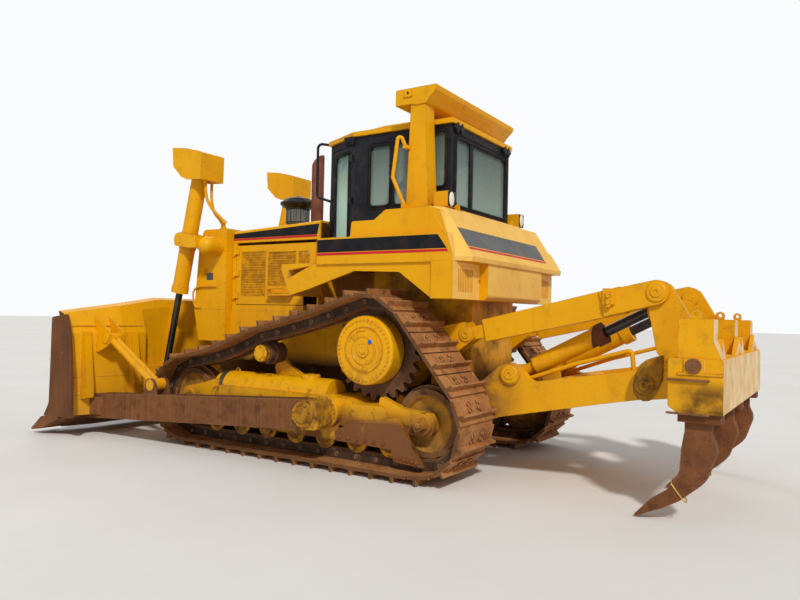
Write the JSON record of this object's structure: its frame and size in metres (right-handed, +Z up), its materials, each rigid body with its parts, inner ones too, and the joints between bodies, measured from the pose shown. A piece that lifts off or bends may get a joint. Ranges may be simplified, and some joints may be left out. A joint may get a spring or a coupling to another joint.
{
  "type": "bulldozer",
  "caption": "Track-type bulldozer with raised drive sprockets, semi-U blade on lift cylinders, closed cab under a roll-over frame, and a rear parallelogram ripper with curved shanks",
  "frame": {"origin": "middle of the whole length and width, on the ground under the grouser tips", "axes": "+X forward to the blade, +Y to the machine's left, +Z up"},
  "size_m": [6.87, 3.692, 3.435],
  "materials": {
    "track_steel": "rough, oily and dusty",
    "wheel_steel": "worn, polished on the treads",
    "worn_steel": "rusty brown, scoured",
    "machine_yellow": "satin paint with scratches and grime",
    "frame_yellow": "satin paint",
    "dark_casting": "dull and greasy",
    "stack_steel": "heat-browned",
    "black_paint": "satin black",
    "tinted_glass": "light green tint",
    "seat_cloth": "matt cloth",
    "rod_steel": "dark oiled steel"
  },
  "bodies": {
    "chassis": {"track_left": "track_steel", "track_right": "track_steel", "idlers": "wheel_steel", "rollers": "wheel_steel", "sprockets": "worn_steel", "final_drives": "machine_yellow", "track_frames": "machine_yellow", "radiator_guard": "machine_yellow", "hood": "machine_yellow", "cab_roof": "machine_yellow", "fenders": "machine_yellow", "rear_tank": "machine_yellow", "handrails": "machine_yellow", "lift_yokes": "machine_yellow", "ripper_mount": "machine_yellow", "main_frame": "dark_casting", "engine_block": "dark_casting", "radiator_grille": "dark_casting", "exhaust_stack": "stack_steel", "air_precleaner": "black_paint", "cab_shell": "black_paint", "cab_controls": "black_paint", "rear_lamps": "black_paint", "rops": "frame_yellow", "cab_glass": "tinted_glass", "seat": "seat_cloth"},
    "blade_group": {"blade": "worn_steel", "blade_pins": "worn_steel", "cutting_edge": "worn_steel", "push_arms": "machine_yellow", "tilt_braces": "machine_yellow"},
    "lift_cylinder_left": {"lift_barrel_left": "machine_yellow", "lamp_guard_left": "machine_yellow", "lift_hoses_left": "machine_yellow"},
    "lift_cylinder_right": {"lift_barrel_right": "machine_yellow", "lamp_guard_right": "machine_yellow", "lift_hoses_right": "machine_yellow"},
    "lift_rod_left": {"lift_rod_left": "rod_steel"},
    "lift_rod_right": {"lift_rod_right": "rod_steel"},
    "cab_door_left": {"cab_door_left": "black_paint", "door_glass_left": "tinted_glass"},
    "cab_door_right": {"cab_door_right": "black_paint", "door_glass_right": "tinted_glass"},
    "engine_door_left": {"engine_door_left": "machine_yellow"},
    "engine_door_right": {"engine_door_right": "machine_yellow"},
    "ripper_frame": {"ripper_frame": "machine_yellow"},
    "ripper_links": {"ripper_links": "machine_yellow"},
    "ripper_tool_beam": {"ripper_beam": "machine_yellow", "ripper_shanks": "worn_steel"},
    "ripper_barrels": {"ripper_barrels": "machine_yellow"},
    "ripper_rods": {"ripper_rods": "rod_steel"}
  },
  "joints": [
    {"name": "blade_lift", "type": "hinge", "parent": "chassis", "child": "blade_group", "pos_m": [-0.21, 0, 0.515], "axis": [0, -1, 0], "range_deg": [-8.5, 18.2]},
    {"name": "lift_cylinder_swing_left", "type": "hinge", "parent": "chassis", "child": "lift_cylinder_left", "pos_m": [2.23, 0.76, 2.175], "axis": [0, -1, 0], "range_deg": [-2.19, 4.58]},
    {"name": "lift_rod_slide_left", "type": "slide", "parent": "lift_cylinder_left", "child": "lift_rod_left", "axis": [0.2196, 0, -0.9756], "range_m": [-0.8842, 0.4151]},
    {"name": "lift_cylinder_swing_right", "type": "hinge", "parent": "chassis", "child": "lift_cylinder_right", "pos_m": [2.23, -0.76, 2.175], "axis": [0, -1, 0], "range_deg": [-2.19, 4.58]},
    {"name": "lift_rod_slide_right", "type": "slide", "parent": "lift_cylinder_right", "child": "lift_rod_right", "axis": [0.2196, 0, -0.9756], "range_m": [-0.8842, 0.4151]},
    {"name": "cab_door_swing_left", "type": "hinge", "parent": "chassis", "child": "cab_door_left", "pos_m": [0.035, 0.61551, 2.48], "axis": [0, 0, 1], "range_deg": [0, 105]},
    {"name": "cab_door_swing_right", "type": "hinge", "parent": "chassis", "child": "cab_door_right", "pos_m": [0.035, -0.61551, 2.48], "axis": [0, 0, -1], "range_deg": [0, 105]},
    {"name": "engine_door_swing_left", "type": "hinge", "parent": "chassis", "child": "engine_door_left", "pos_m": [1.6675, 0.568, 1.8], "axis": [0, 0, -1], "range_deg": [0, 80]},
    {"name": "engine_door_swing_right", "type": "hinge", "parent": "chassis", "child": "engine_door_right", "pos_m": [1.6675, -0.568, 1.8], "axis": [0, 0, 1], "range_deg": [0, 80]},
    {"name": "ripper_lift", "type": "hinge", "parent": "chassis", "child": "ripper_frame", "pos_m": [-1.252, 0, 0.531], "axis": [0, 1, 0], "range_deg": [-21, 23]},
    {"name": "ripper_upper_link_swing", "type": "hinge", "parent": "chassis", "child": "ripper_links", "pos_m": [-1.312, 0, 1.228], "axis": [0, 1, 0], "range_deg": [-21.1, 23.1]},
    {"name": "ripper_beam_pivot", "type": "hinge", "parent": "ripper_frame", "child": "ripper_tool_beam", "pos_m": [-2.845, 0, 0.903], "axis": [0, 1, 0], "range_deg": [-23.1, 21.1]},
    {"name": "ripper_cylinder_swing", "type": "hinge", "parent": "ripper_frame", "child": "ripper_barrels", "pos_m": [-1.725, 0, 0.905], "axis": [0, 1, 0], "range_deg": [-5.49, 5.02]},
    {"name": "ripper_rod_slide", "type": "slide", "parent": "ripper_barrels", "child": "ripper_rods", "axis": [-0.8873, 0, 0.4611], "range_m": [-0.1918, 0.2096]}
  ],
  "couplings": [
    {"joint": "lift_cylinder_swing_left", "follows": "blade_lift", "ratio": 0.24625},
    {"joint": "lift_rod_slide_left", "follows": "blade_lift", "m_per_rad": -2.7711},
    {"joint": "lift_cylinder_swing_right", "follows": "blade_lift", "ratio": 0.24625},
    {"joint": "lift_rod_slide_right", "follows": "blade_lift", "m_per_rad": -2.7711},
    {"joint": "ripper_upper_link_swing", "follows": "ripper_lift", "ratio": 1},
    {"joint": "ripper_beam_pivot", "follows": "ripper_lift", "ratio": -1},
    {"joint": "ripper_cylinder_swing", "follows": "ripper_lift", "ratio": -0.23447},
    {"joint": "ripper_rod_slide", "follows": "ripper_lift", "m_per_rad": 0.51228}
  ]
}
